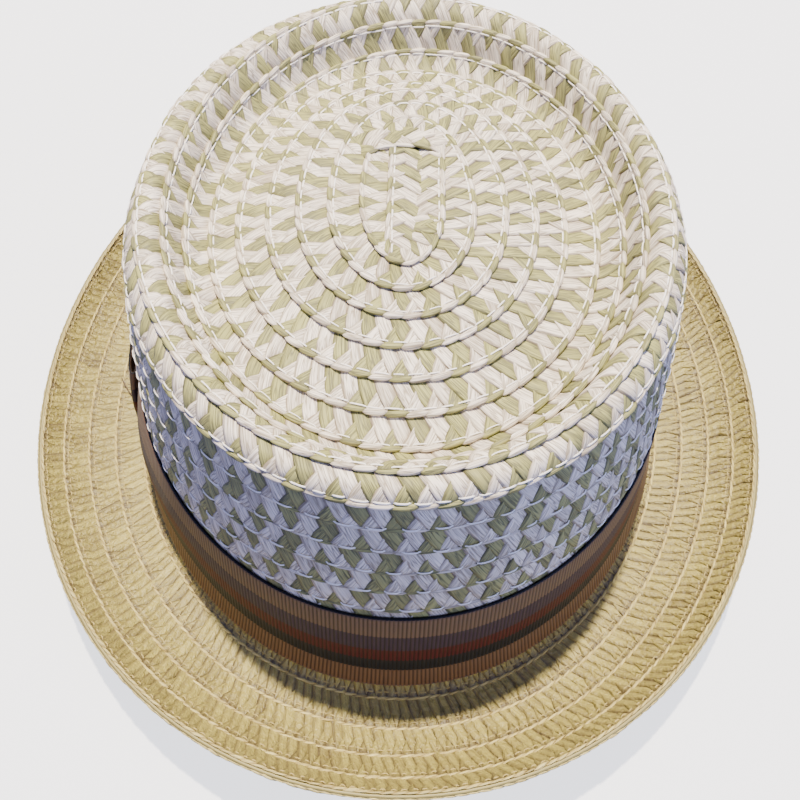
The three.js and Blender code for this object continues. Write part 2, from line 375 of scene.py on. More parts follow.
def quads(rows, columns, closed=(False, False)):
    """The faces of a grid of points, which may close on itself down its rows or across them."""
    r = np.arange(rows - (not closed[0]))[:, None]
    c = np.arange(columns - (not closed[1]))
    here, after, right = r * columns, (r + 1) % rows * columns, (c + 1) % columns
    return np.stack([here + c, here + right, after + right, after + c], axis=-1).reshape(-1, 4)


def grid_of(*values):
    """A grid's points as one table, and its faces."""
    return np.stack(values, axis=-1).reshape(-1, len(values)), quads(*values[0].shape)


def leaf_sheet(plait, inward, share, left, right, slant, full, lower, dip):
    """A curved sheet between two edges. Its upper edge comes twice: on top, and turned down."""
    shares = np.concatenate([[0], np.linspace(0, 1, inward.shape[1] - 1)])
    across = shares + 0 * inward
    along = left + (right - left) * across
    lift = plait.rise * leaf_profile(across) * full - lower
    lift[:, 0] -= TURN_DOWN
    lift -= dip * np.clip((LEAF_FOOT + LEAF_ROOT - inward) / (2 * LEAF_ROOT), 0, 1)
    u, v = along + slant * inward, inward * SLANT_LENGTH - slant * along
    return grid_of(along, inward, lift, u, v, painted_edge_shade(plait, across, share))


def long_leaf(plait):
    """The leaf that slants down to the bead."""
    columns, rows = (7, 9) if plait.fine else (5, 5)
    inward = np.linspace(0, 1, rows)[:, None] ** (1.0 if plait.fine else 1.5) * np.ones(columns)
    inward = LEAF_FOOT - LEAF_ROOT + inward * (plait.pitch + HEAD_TUCK - LEAF_FOOT)
    share = np.clip((inward - LEAF_FOOT) / (plait.pitch - LEAF_FOOT), 0, 1)
    bulge = np.sin(math.pi * share)
    left = plait.strand / 2 - plait.slant * (inward - LEAF_FOOT) - plait.rounded * bulge
    lower = plait.strand / 2 + plait.slant * (inward - LEAF_FOOT) + TUCK
    right = np.minimum(lower, left + plait.strand + TUCK)
    full = END_HEIGHT + MIDDLE_MORE * bulge
    return leaf_sheet(plait, inward, share, left, right, plait.slant, full, 0, LONG_DIP)


def short_leaf(plait):
    """The leaf that rises from the bead between two long ones."""
    columns, rows = (6, 6) if plait.fine else (4, 4)
    half, apex = plait.strand / 2, plait.apex
    inward = np.linspace(LEAF_FOOT - LEAF_ROOT, apex + 0.5, rows)[:, None] * np.ones(columns)
    share = np.clip((inward - LEAF_FOOT) / (apex - LEAF_FOOT), 0, 1)
    bulge = 0.6 * plait.rounded * np.sin(math.pi * share)
    left = -half + plait.slant * (inward - LEAF_FOOT) - bulge
    right = np.maximum(half - plait.slant * (inward - LEAF_FOOT) + TUCK, left + LEAST_WIDTH)
    return leaf_sheet(plait, inward, share, left, right, -plait.slant, 1, SHORT_LOWER, SHORT_DIP)


def tube_grid(around, rings):
    """How far along a tube each point lies, from -1 to 1, and its turn round the tube."""
    return np.meshgrid(np.linspace(-1, 1, rings), np.linspace(0, 2 * math.pi, around + 1), indexing="ij")


def bead_roll(plait):
    """The strand where it turns over the edge: a short slanted roll, tucked under the next one."""
    share, turn = tube_grid(*((8, 7) if plait.fine else (5, 4)))
    thick = plait.bead * np.sqrt(np.clip(1.02 - share**2, 0.02, 1)) ** 0.6  # it thins towards its ends
    along = share * plait.strand * (BEAD_HALF if plait.fine else COARSE_BEAD_HALF)
    inward = BEAD_INWARD + BEAD_SLANT * share + thick * np.cos(turn)
    lift = BEAD_LIFT + BEAD_CLIMB * share + BEAD_FLAT * thick * np.sin(turn)
    # the bead's ends, tucked under the next one, get painted shade
    return grid_of(along, inward, lift, turn * plait.bead, along, -plait.tuck_shade * share**4)


print("long leaf", len(long_leaf(crown_plait)[1]), "faces, short", len(short_leaf(crown_plait)[1]), "faces")

# %% [markdown]
# ## Materials
# The crown's strands are paper straw, some bleached and some dyed olive. The brim's are the same paper
# in its natural golden colour. Twisted paper is matt with fine creases that run along each strand, so
# the colour and the bump both follow the strand's own coordinates, which are stored as a UV map in
# millimetres.

# %% Node helpers
FIBRE_IOR = 1.5  # paper, cotton and wall paint are all near this


def linear(code):
    """An sRGB hex colour as the linear RGBA that Blender works in."""
    channels = [int(code[i : i + 2], 16) / 255 for i in (1, 3, 5)]
    return [c / 12.92 if c <= 0.04045 else ((c + 0.055) / 1.055) ** 2.4 for c in channels] + [1.0]


def new_material(name):
    """A material with no nodes yet."""
    material = bpy.data.materials.new(name)
    material.use_nodes = True
    material.node_tree.nodes.clear()
    return material


def add_node(material, kind, settings=None, **links):
    """Adds a node, sets its properties and sockets, and links other nodes to it.

    A socket goes by its name or, as in i6, by its number. A link starts at the output given, or at
    a node's first one.
    """
    node = material.node_tree.nodes.new(kind)

    def socket(key):
        return node.inputs[int(key[1:]) if key[1:].isdigit() else key.replace("_", " ")]

    for key, value in (settings or {}).items():
        if hasattr(node, key):
            setattr(node, key, value)
        else:
            socket(key).default_value = value
    for key, source in links.items():
        output = source.outputs[0] if hasattr(source, "outputs") else source
        material.node_tree.links.new(output, socket(key))
    return node


def finish_material(material, settings, **links):
    """Adds the shader that the light meets, and sends it to the surface."""
    shader = add_node(material, "ShaderNodeBsdfPrincipled", {"IOR": FIBRE_IOR, **settings}, **links)
    add_node(material, "ShaderNodeOutputMaterial", Surface=shader)
    return material


print("bleached straw in linear light:", [round(channel, 2) for channel in linear("#f0e5d0")])

# %% Paper straw
CREASE_WIDTH = 0.5  # millimetres; real creases are nearer 0.2 and would not show
CREASE_LENGTH = 9.0
FOLD_WIDTH = 0.85  # between the sharp folds along a strand
FOLD_LENGTH = 16.0
FOLD_SHARP = 0.06  # how narrow a fold's line is
CRINKLE = 1.2  # size of the crumples in pressed paper
PAPER_TONE = 0.8  # share of the light colour in the paper, on average
PAPER_RELIEF = 0.16  # depth of the creases


def stretched_noise(material, place, width, length, detail):
    """Noise drawn out along the strand."""
    stretch = {"Scale": (1 / width, 1 / length, 1)}
    scaled = add_node(material, "ShaderNodeMapping", stretch, Vector=place)
    settings = {"Scale": 1.0, "Detail": detail, "Roughness": 0.6}
    return add_node(material, "ShaderNodeTexNoise", settings, Vector=scaled)


def paper_straw(name, light, dark, streaky=1.6, folded=0.1, crumpled=0.0, gloss=0.5):
    """Twisted paper: streaks and sharp folds along the strand, and each strand its own tone; the folds and
    the leaves' edges are painted shade.
    """
    material = new_material(name)
    place = add_node(material, "ShaderNodeUVMap", {"uv_map": "strand"})
    crease = stretched_noise(material, place, CREASE_WIDTH, CREASE_LENGTH, 3.0)
    fold = stretched_noise(material, place, FOLD_WIDTH, FOLD_LENGTH, 1.0)
    crumple = stretched_noise(material, place, CRINKLE, 2 * CRINKLE, 2.0)
    # the tone attribute holds each strand's own tone and the painted shade at its edges
    tone = add_node(material, "ShaderNodeAttribute", {"attribute_name": "tone"})
    streaked = {"operation": "MULTIPLY_ADD", "i1": streaky, "i2": PAPER_TONE - streaky / 2}
    streak = add_node(material, "ShaderNodeMath", streaked, i0=crease)
    added = {"operation": "ADD", "use_clamp": True}
    toned = add_node(material, "ShaderNodeMath", added, i0=streak, i1=tone.outputs["Fac"])
    # the sharp folds are drawn as dark lines in the colour, not only in the bump: painted shade in the
    # creases
    middle = add_node(material, "ShaderNodeMath", {"operation": "SUBTRACT", "i1": 0.5}, i0=fold)
    away = add_node(material, "ShaderNodeMath", {"operation": "ABSOLUTE"}, i0=middle)
    sharpened = {"From Min": 0.0, "From Max": FOLD_SHARP, "To Min": folded, "To Max": 1.0}
    line = add_node(material, "ShaderNodeMapRange", sharpened, Value=away)
    shade = add_node(material, "ShaderNodeMath", {"operation": "MULTIPLY"}, i0=toned, i1=line)
    colours = {"data_type": "RGBA", "i6": linear(dark), "i7": linear(light)}
    colour = add_node(material, "ShaderNodeMix", colours, Factor=shade)
    heaped = {"operation": "MULTIPLY_ADD", "i1": crumpled}
    height = add_node(material, "ShaderNodeMath", heaped, i0=crumple, i2=shade)
    relief = {"Strength": 0.7, "Distance": PAPER_RELIEF * MM}
    bump = add_node(material, "ShaderNodeBump", relief, Height=height)
    finish = {"Roughness": 0.6, "Specular IOR Level": gloss}
    return finish_material(material, finish, Base_Color=colour.outputs[2], Normal=bump)


bleached_straw = paper_straw("bleached_paper_straw", "#f0e5d0", "#8b7d64")
olive_straw = paper_straw("olive_paper_straw", "#a29f5e", "#585636")
golden_straw = paper_straw(
    "golden_paper_straw", "#a69948", "#574820", streaky=0.9, folded=0.7, crumpled=9.0, gloss=1.0
)
pale_golden_straw = paper_straw(
    "pale_golden_paper_straw", "#c7b874", "#86723a", streaky=1.0, folded=0.5, crumpled=4.0
)
print("straw:", bleached_straw.name, olive_straw.name, golden_straw.name, pale_golden_straw.name)

# %% [markdown]
# ## Weaving the rounds
# Each leaf shape is copied to every strand's place along a round, with a little seeded unevenness, and
# the whole round becomes one set of points and faces. On the crown the five strands are dyed in a
# fixed order, so the colours repeat every five leaves.

# %% Dyed strands
DYE_ORDER = (1, 0, 1, 0, 0)  # 1 is olive
SHORT_LAG = 3  # a short leaf and its bead belong to the strand of the long leaf two back
WIDER, LONGER, HIGHER = 0.5, 0.15, 2  # how much of a plait's unevenness each of these takes
TONE_SPREAD = 0.13  # how much the strands differ in tone
PATTERN_SPREAD = 500  # millimetres, so that no two leaves have the same creases


def new_piece(name, points, faces, materials, slot):
    """A mesh piece that rides with the hat. Points are in millimetres."""
    mesh = bpy.data.meshes.new(name)
    mesh.vertices.add(len(points))
    mesh.vertices.foreach_set("co", (points * MM).astype(np.float32).ravel())
    corners = faces.shape[1]
    mesh.loops.add(faces.size)
    mesh.loops.foreach_set("vertex_index", faces.astype(np.int32).ravel())
    mesh.polygons.add(len(faces))
    mesh.polygons.foreach_set("loop_start", np.arange(0, faces.size, corners, dtype=np.int32))
    mesh.update(calc_edges=True)
    mesh.shade_smooth()
    for material in materials:
        mesh.materials.append(material)
    piece = bpy.data.objects.new(name, mesh)
    bpy.context.scene.collection.objects.link(piece)
    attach(piece, "root")
    return piece


def add_uv(piece, faces, uv):
    """Stores where each corner lies on its strand, in millimetres."""
    layer = piece.data.uv_layers.new(name="strand")
    layer.data.foreach_set("uv", uv[faces.ravel()].astype(np.float32).ravel())


def add_tone(piece, tone):
    """Stores how light the paper is at each point: its own tone, and the painted shade at its edges."""
    attribute = piece.data.attributes.new("tone", "FLOAT", "POINT")
    attribute.data.foreach_set("value", tone.astype(np.float32))


print("the dyes repeat every", len(DYE_ORDER), "leaves,", sum(DYE_ORDER), "of them olive")

# %% Weave
def repeated(faces, count, points):
    """The faces of a shape, again for each of its copies."""
    return (faces[None] + (np.arange(count) * points)[:, None, None]).reshape(-1, 4)


def copies(shape, braid_round, plait, centres, stretch):
    """One leaf shape at every unit of a round."""
    local, faces = shape
    x, y, z, _, _, painted_shade = local.T
    count = len(centres)
    wobble = rng.normal(0, plait.uneven, (4, count, 1))
    along = x * stretch * (1 + wobble[0] * WIDER) + wobble[2] * plait.strand / 3
    inward = y * (1 + wobble[1] * LONGER)
    lift = z * (1 + HIGHER * wobble[3]) + plait.over(inward)
    points = braid_round.points(centres[:, None] + along, inward, lift).reshape(-1, 3)
    offset = rng.uniform(0, PATTERN_SPREAD, (count, 1, 2))
    uv = (local[:, 3:5] + offset).reshape(-1, 2)
    # each strand's own random tone, plus the painted shade at its edges
    tone = (rng.normal(0, TONE_SPREAD, (count, 1)) + painted_shade).ravel()
    if braid_round.mirrored:
        faces = faces[:, ::-1]
    return points, repeated(faces, count, len(local)), uv, tone


def joined(parts):
    """Several sets of points, faces and more as one set."""
    shift = np.cumsum([0] + [len(part[0]) for part in parts])
    columns = list(zip(*parts))
    columns[1] = [faces + start for faces, start in zip(columns[1], shift)]
    return [np.concatenate(column) for column in columns]


def weave(name, rounds, plait, straws, number=0, dyes=DYE_ORDER, bead_dye=None):
    """The leaves and beads of some rounds as one piece. Also gives the number of the next leaf."""
    parts = []
    for braid_round in rounds:
        total = braid_round.total
        count = round(total / plait.strand)
        centres = (np.arange(count) + 0.5) * total / count
        units = number + np.arange(count)
        number += count
        kept = np.interp(centres, braid_round.length_at, braid_round.place_at) > braid_round.ends
        centres, units = centres[kept], units[kept]
        stretch = total / count / plait.strand
        for make, lag in ((long_leaf, 0), (short_leaf, SHORT_LAG), (bead_roll, SHORT_LAG)):
            shape = make(plait)
            part = copies(shape, braid_round, plait, centres, stretch)
            dye = np.array(dyes)[(units + lag) % len(dyes)]
            if make is bead_roll and bead_dye is not None:
                dye = np.full(len(units), bead_dye)
            parts.append((*part, np.repeat(dye, len(shape[1]))))
    points, faces, uv, tone, dye = joined(parts)
    piece = new_piece(name, points, faces, *straws)
    add_uv(piece, faces, uv)
    add_tone(piece, tone)
    piece.data.polygons.foreach_set("material_index", dye.astype(np.int32))
    print(name, "has", 2 * len(faces), "triangles")
    return piece, number


crown_straws = [bleached_straw, olive_straw], "crown_straw"  # materials and slot
brim_straws = [golden_straw, pale_golden_straw], "brim_straw"
brim_dyes = {"dyes": (0,), "bead_dye": 1}  # golden leaves and paler beads
_, number = weave("crown_wall", crown_rounds(-6, 0), wall_plait, crown_straws)
_, number = weave("crown_rim", crown_rounds(0, 4), crown_plait, crown_straws, number)
crown_tip, number = weave("crown_tip", crown_rounds(4, LAST_SEAM + 1), crown_plait, crown_straws, number)
brim_top, _ = weave("brim_top", BRIM_ROUNDS, brim_plait, brim_straws, **brim_dyes)

# %% [markdown]
# ## The first strip
# The braid begins as a short straight strip down the middle of the tip. It is the one place, with the
# round that passes over its cut end, where the braid's whole width shows: a second bead on its inner
# side, and leaves from both beads that meet in a row of Vs. So each half is woven from its own bead.

# %% First strip
STRIP_HEIGHT = CROWN_ROWS[-1][2] - CROWN_SUNK  # at the middle of the tip
STRIP_LEFT, STRIP_RIGHT = -4.7, 9.6  # the lines of its two beads
STRIP_NEAR, STRIP_FAR = -12.5, 21.0  # where it starts, and where the round goes on
STRIP_END = -20.5  # the left bead runs on, over the bend, to the bead of the round before
PASSING_TURN = (0.32, 0.72)  # where the passing edge lies round the tip, in half turns
PASSING_RADII = (20, 20.6)  # across and along the hat


class FlatPath(BraidRound):
    """A bead along a line on the nearly flat middle of the tip."""

    def __init__(self, corners, mirrored=False, raised=0.0, sunk_ends=0.0):
        corners = np.array(corners, dtype=float)
        length = distances(corners)
        self.total = float(length[-1])
        self.length_at = np.linspace(0, self.total, 60)
        self.place_at = self.length_at
        self.line = np.stack([np.interp(self.length_at, length, corners[:, i]) for i in (0, 1)], axis=1)
        self.way = unit(np.gradient(self.line, axis=0))
        self.mirrored = mirrored
        share = self.length_at / self.total * 2 - 1
        self.raised = raised - sunk_ends * np.abs(share) ** 6

    def face(self, place, inward, lift):
        x, y = (np.interp(place, self.length_at, self.line[:, i]) for i in (0, 1))
        along_x, along_y = (np.interp(place, self.length_at, self.way[:, i]) for i in (0, 1))
        side = -1 if self.mirrored else 1
        up = STRIP_HEIGHT + np.interp(place, self.length_at, self.raised) + lift
        return np.stack([x - side * along_y * inward, y + side * along_x * inward, up], axis=-1)


right_bead = FlatPath([(STRIP_RIGHT - 0.6, STRIP_NEAR), (STRIP_RIGHT, -6), (STRIP_RIGHT, STRIP_FAR)])
left_bead = FlatPath([(STRIP_LEFT, STRIP_END), (STRIP_LEFT, STRIP_FAR)], mirrored=True, raised=0.2)
turn = np.linspace(*PASSING_TURN, 16) * math.pi
passing_line = np.stack([PASSING_RADII[0] * np.cos(turn), PASSING_RADII[1] * np.sin(turn)], axis=1)
passing_bead = FlatPath(passing_line, mirrored=True, raised=0.7, sunk_ends=2.4)
_, number = weave("first_strip", [right_bead, left_bead], half_plait, crown_straws, number)
weave("passing_edge", [passing_bead], half_plait, crown_straws, number)

# %% [markdown]
# ## The wrong side
# Inside the crown and under the brim the back of the same braid shows. It is woven again, flatter and
# with fewer faces, because it is seen only when the hat is turned over.

# %% Wrong side
inside_rounds = [Reverse(braid_round, 0.85) for braid_round in crown_rounds(-9, LAST_SEAM + 1)]
weave("crown_inside", inside_rounds, inside_plait, crown_straws)
under_rounds = [Reverse(braid_round, 0.8) for braid_round in BRIM_ROUNDS]
weave("brim_under", under_rounds, under_plait, brim_straws, **brim_dyes)

# %% [markdown]
# ## The straw behind the leaves
# The real braid has a back as well as a front. Under the leaves lies a closed shell, 0.8 mm thick,
# that carries them and closes the small gaps between strands.

# %% Shells
SHELL_SECTORS = 120
SHELL_THICK = 0.8
SHELL_GAP = 0.1  # between the crown's shell and the foot of its leaves
angles = np.linspace(0, 2 * math.pi, SHELL_SECTORS, endpoint=False)


def ring_shell(name, ring, places, top, material, slot):
    """A closed body from rings of points: the outer ones, then the inner ones in reverse."""
    levels = [(at, top) for at in places] + [(at, top - SHELL_THICK) for at in places[::-1]]
    rings = np.array([ring(at + 0 * angles, angles, lift + 0 * angles) for at, lift in levels])
    faces = quads(len(rings), SHELL_SECTORS, (True, True))[:, TURNED]
    new_piece(name, rings.reshape(-1, 3), faces, [material], slot)
    print(name, "has", 2 * len(faces), "triangles")


wall_ats, rim_ats, tip_ats = np.linspace(-9.8, -1, 12), np.linspace(-0.75, 5, 24), np.linspace(5.5, 10, 10)
crown_ats = np.concatenate([wall_ats, rim_ats, tip_ats])  # rings of points, closest over the rim
brim_outs = np.linspace(-6, BRIM_WIDTH + 0.1, 40)
ring_shell("crown_back", off_crown, crown_ats, -CROWN_SUNK - SHELL_GAP, bleached_straw, "crown_straw")
ring_shell("brim_back", brim_face, brim_outs, -BRIM_SUNK, golden_straw, "brim_straw")
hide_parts("crown")
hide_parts("brim")

# %% [markdown]
# ## Sewing thread
# Each round is sewn to the one under it by a row of machine stitches just inside its bead. The thread
# comes up, lies on the straw for two to four millimetres and goes down again. A thin bent tube for
# each stitch shows as a bright dash, which a painted line would not do.

# %% Stitches
COTTON_TWIST = 900.0  # over the whole piece, so fine that it only softens the thread's colour
THREAD_RELIEF = 0.05
STITCH_RISE, STITCH_SUNK = 0.5, 0.35  # its middle over its ends, and its ends in the straw
STITCH_WANDER, STITCH_UNEVEN = 0.12, 0.1  # how much the stitches differ in place and length


def cotton_thread():
    """Twisted cotton, a little glossy from its glaze."""
    material = new_material("glazed_cotton_thread")
    twist = add_node(material, "ShaderNodeTexWave", {"Scale": COTTON_TWIST, "Distortion": 1.0})
    colours = {"data_type": "RGBA", "i6": linear("#fffcf2"), "i7": linear("#f4eddc")}
    colour = add_node(material, "ShaderNodeMix", colours, Factor=twist)
    relief = {"Strength": 0.3, "Distance": THREAD_RELIEF * MM}
    bump = add_node(material, "ShaderNodeBump", relief, Height=twist)
    return finish_material(material, {"Roughness": 0.42}, Base_Color=colour.outputs[2], Normal=bump)


def stitch_shape(length, radius, fine):
    """One stitch: a thread that rises, lies along the straw and dives."""
    share, turn = tube_grid(*((5, 6) if fine else (4, 4)))
    along = share * length / 2
    lift = STITCH_RISE * (1 - share**4) - STITCH_SUNK + radius * np.sin(turn)
    return grid_of(along, radius * np.cos(turn), lift, turn, along, 0 * along)


def sew(name, rounds, plait, inside, above, every, length, radius, material, slot):
    """A row of stitches on each round, `inside` millimetres from its bead and one `every` so many."""
    parts = []
    local, faces = stitch_shape(length, radius, plait.fine)
    x, y, z = local.T[:3]
    for braid_round in rounds:
        count = round(braid_round.total / every)
        centres = (np.arange(count) + 0.5) * braid_round.total / count
        centres = centres + rng.normal(0, STITCH_WANDER, count)
        drift = rng.normal(0, STITCH_UNEVEN, (2, count, 1))
        along = x * (1 + drift[0])
        inward = inside + drift[1] + y
        points = braid_round.points(centres[:, None] + along, inward, above + z + plait.over(inward))
        sided = faces[:, ::-1] if braid_round.mirrored else faces
        parts.append((points.reshape(-1, 3), repeated(sided, count, len(local))))
    points, stitched = joined(parts)
    new_piece(name, points, stitched, [material], slot)
    print(name, "has", 2 * len(stitched), "triangles")


thread = cotton_thread()
STITCH_ROWS = [  # piece, rounds, plait, inside, above, every, length, radius, material, slot
    ("tip_stitches", crown_rounds(4, 9), crown_plait, 1.1, 0.4, 4.2, 3.8, 0.22, thread, "crown_straw"),
    ("strip_stitches", [right_bead, left_bead], half_plait, 1.1, 0.4, 4.2, 3.6, 0.22, thread, "crown_straw"),
    ("rim_stitches", crown_rounds(0, 4), crown_plait, 1.2, 0.45, 4.4, 4.1, 0.22, thread, "crown_straw"),
    ("wall_stitches", crown_rounds(-5, 0), wall_plait, 0.95, 0.6, 7.0, 3.9, 0.2, thread, "crown_straw"),
    ("brim_stitches", BRIM_ROUNDS, brim_plait, 1.7, 0.3, 2.5, 2.1, 0.22, pale_golden_straw, "brim_straw"),
]
for row in STITCH_ROWS:
    sew(*row)

# %% [markdown]
# ## Grosgrain ribbon
# Grosgrain is woven with thick weft threads, so it has ribs across it. Its stripes run along it, in the
# warp. The ribs are modelled, because their rounded tops catch the light, and the stripes are a colour
# ramp across the ribbon's width, which is stored in the UV map in millimetres. The grooves between the
# ribs get painted shade as well.

# %% Grosgrain
RIBBON_WIDTH = 34.3
RIB = 1.1  # rib spacing; fine grosgrain has ribs nearer 0.8
RIB_RISE = 0.28
RIB_STEPS = 4  # rows of points for each rib
# how dark the painted shade between the ribs is
GROOVE_SHADE = 0.35
STRIPES = [  # distance up from the ribbon's lower edge, colour
    (0.0, "#74573b"),
    (6.9, "#14181a"),
    (12.5, "#500a10"),
    (18.2, "#3c2b37"),
    (25.2, "#765c44"),
    (33.95, "#0a090b"),
]


def grosgrain():
    """Ribbed ribbon: stripes along it, and painted shade between the ribs."""
    material = new_material("striped_grosgrain")
    place = add_node(material, "ShaderNodeUVMap", {"uv_map": "strand"})
    split = add_node(material, "ShaderNodeSeparateXYZ", Vector=place)
    across = {"operation": "DIVIDE", "i1": RIBBON_WIDTH}
    share = add_node(material, "ShaderNodeMath", across, i0=split.outputs["Y"])
    ramp = add_node(material, "ShaderNodeValToRGB", Fac=share)
    ramp.color_ramp.interpolation = "CONSTANT"
    steps = ramp.color_ramp.elements
    while len(steps) < len(STRIPES):
        steps.new(0.5)
    for step, (up, code) in zip(steps, STRIPES):
        step.position = up / RIBBON_WIDTH
        step.color = linear(code)
    ribbed = {"operation": "MULTIPLY", "i1": 2 * math.pi / RIB}
    turns = add_node(material, "ShaderNodeMath", ribbed, i0=split.outputs["X"])
    wave = add_node(material, "ShaderNodeMath", {"operation": "COSINE"}, i0=turns)
    # the colour is darkened between the ribs: painted shade in the grooves
    darkened = {"From Min": -0.3, "From Max": 1.0, "To Min": 1.0, "To Max": GROOVE_SHADE}
    groove_shade = add_node(material, "ShaderNodeMapRange", darkened, Value=wave)
    times = {"data_type": "RGBA", "blend_type": "MULTIPLY", "i0": 1.0}
    colour = add_node(material, "ShaderNodeMix", times, i6=ramp, i7=groove_shade)
    finish = {"Roughness": 0.5, "Specular IOR Level": 0.2, "Sheen Weight": 0.06, "Sheen Roughness": 0.4}
    return finish_material(material, finish, Base_Color=colour.outputs[2])


grosgrain_ribbon = grosgrain()
print(grosgrain_ribbon.name, "has", len(STRIPES), "stripes over", RIBBON_WIDTH, "mm")

# %% A ribbon's body
def ribbon_piece(name, outer, inner, uv, closed):
    """A thin closed body between an outer and an inner grid of points, each (length, width, 3)."""
    count, width = outer.shape[:2]
    behind = count * width  # from a point of the front to the one behind it

    def rim(here, after, flip):
        """Faces from front to back along an edge."""
        strip = np.stack([here, here + behind, after + behind, after], axis=-1)
        return strip[:, ::-1] if flip else strip

    front = quads(count, width, (closed, False))[:, TURNED]
    start = np.arange(count - (not closed))
    start, end = start * width, (start + 1) % count * width
    sides = [rim(start, end, False), rim(start + width - 1, end + width - 1, True)]
    if not closed:
        first = np.arange(width - 1)
        last = first + (count - 1) * width
        sides += [rim(first, first + 1, True), rim(last, last + 1, False)]
    faces = np.concatenate([front, front[:, ::-1] + behind] + sides)
    points = np.concatenate([outer.reshape(-1, 3), inner.reshape(-1, 3)])
    piece = new_piece(name, points, faces, [grosgrain_ribbon], "grosgrain_ribbon")
    add_uv(piece, faces, np.concatenate([uv.reshape(-1, 2)] * 2))
    print(name, "has", 2 * len(faces), "triangles")
    return piece


# %% [markdown]
# ## The hat band
# The ribbon is cut to the hat's measure and drawn round the foot of the crown, over the seam between
# crown and brim.

# %% Hat band
BAND_BOTTOM = 5.2
BAND_BACK = 0.1  # the ribbon's inner face, out from the straw
RIBBON_THICK = 0.5
SLACK = 2.6  # how far the ribbon stands off the straw beside the bow, where its end is tucked in
SLACK_ANGLE = math.radians(68)
SLACK_BEFORE, SLACK_AFTER = math.radians(12), math.radians(6)  # how far the bulge spreads
FLARE = 1.6  # how far its lower edge stands off, over the turn of the brim
FLARE_HEIGHT = 7.0
SELVEDGE = 0.35  # the ribs run out over this much at each edge
SELVEDGE_THICK = 0.7  # thickness at the very edge, as a share of the ribbon's
INNER_ROW = 1.2  # the next row of points, in from each edge


def wall_face(angle, height, lift):
    """A point off the crown's wall, by its height."""
    foot, seam = CROWN_ROWS[0], CROWN_ROWS[1]
    at = foot[0] + (height - foot[2]) / (seam[2] - foot[2]) * (seam[0] - foot[0])
    return off_crown(at, angle, lift)


def ribbon_slack(angle, height):
    """How far the ribbon stands off the wall: a bulge beside the bow, and a flare at its foot."""
    off = angle - SLACK_ANGLE
    spread = np.where(off > 0, SLACK_AFTER, SLACK_BEFORE)
    share = np.clip((height - BAND_BOTTOM) / RIBBON_WIDTH, 0, 1)
    flare = FLARE * np.clip(1 - (height - BAND_BOTTOM) / FLARE_HEIGHT, 0, 1) ** 1.5
    return SLACK * np.exp(-0.5 * (off / spread) ** 2) * np.sin(math.pi * share) + flare


def rib_wave(length):
    """Height of the ribs along the ribbon."""
    return RIB_RISE * np.sqrt(np.abs(np.sin(math.pi * length / RIB)))


def band():
    """The whole ribbon, ribbed on its outer face, as a closed loop."""
    sample = np.linspace(0, 2 * math.pi, 2001)
    level = np.full_like(sample, (BAND_BOTTOM + BAND_TOP) / 2)
    line = wall_face(sample, level, np.full_like(sample, RIBBON_THICK))
    length_at = distances(line)
    ribs = round(length_at[-1] / RIB)
    length = np.arange(ribs * RIB_STEPS) / RIB_STEPS * RIB
    angle = np.interp(length * length_at[-1] / (ribs * RIB), length_at, sample)
    inner_rows = np.linspace(INNER_ROW, RIBBON_WIDTH - INNER_ROW, 7)
    up = np.concatenate([[0, SELVEDGE], inner_rows, [RIBBON_WIDTH - SELVEDGE, RIBBON_WIDTH]])
    angle = angle[:, None] + 0 * up
    length, up = np.meshgrid(length, up, indexing="ij")
    ribbed = np.where((up > 0) & (up < RIBBON_WIDTH), 1.0, 0.0)
    height = BAND_BOTTOM + up
    back = BAND_BACK + ribbon_slack(angle, height)
    thick = RIBBON_THICK * np.where(ribbed > 0, 1.0, SELVEDGE_THICK) + rib_wave(length) * ribbed
    outer = wall_face(angle, height, back + thick)
    inner = wall_face(angle, height, back)
    print("band:", ribs, "ribs over", round(float(length_at[-1])), "mm")
    return ribbon_piece("ribbon_band", outer, inner, np.stack([length, up], axis=-1), True)


ribbon_band = band()
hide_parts("hat_band")

# %% [markdown]
# ## The bow
# The bow is flat, as on most men's hats. Each side is a length of the same ribbon, folded back on
# itself and gathered at the middle, and a short folded piece wraps the gathers. Each loop is drawn as
# a path seen from its edge, with the ribbon's half width along it. The puckers at the knot are small
# waves across the width that fade out towards the loop's end.

# %% Bow
BOW_ANGLE = math.radians(91.7)
BOW_UP = 23.0  # height of the bow's middle
WALL_RADIUS = 102.5  # of the wall's curve at the bow
LOOP_PATH = [  # distance from the bow's middle, out from the wall, half width
    (0.6, 2.0, 11.8),
    (5.0, 1.9, 12.0),
    (10.0, 1.6, 13.6),
    (18.0, 1.5, 14.8),
    (27.6, 1.5, 15.0),
    (28.8, 1.8, 15.0),
    (29.3, 2.4, 15.0),
    (28.9, 3.0, 15.0),
    (27.8, 3.3, 15.0),
    (20.0, 3.6, 14.9),
    (12.0, 3.7, 13.9),
    (6.6, 3.5, 12.2),
    (2.0, 3.2, 11.8),
]
PUCKER = 0.35  # depth of the gathers at the knot
PUCKERS = 4
PUCKER_FADE = 14  # how far out they have faded
RIBBON_CLOTH = 0.55  # thickness of the bow's ribbon
BOW_SELVEDGE = 0.6  # of it at the ribbon's edges, as a share
BOW_RIBS = 0.8  # height of its ribs, as a share of the band's


def bow_point(along, up, out):
    """A point near the bow's middle, measured on the wall under it."""
    angle, height = BOW_ANGLE + along / WALL_RADIUS, BOW_UP + up
    return wall_face(angle, height, out + ribbon_slack(angle, height))


def smooth_path(path, samples):
    """A path through the rows, evenly spaced, and its length."""
    table = np.array(path)
    _, fine = smooth_table(np.column_stack([distances(table[:, :2]), table]), 0.1)
    length = distances(fine[:, :2])
    even = np.linspace(0, length[-1], samples)
    return np.stack([np.interp(even, length, column) for column in fine.T], axis=1), even


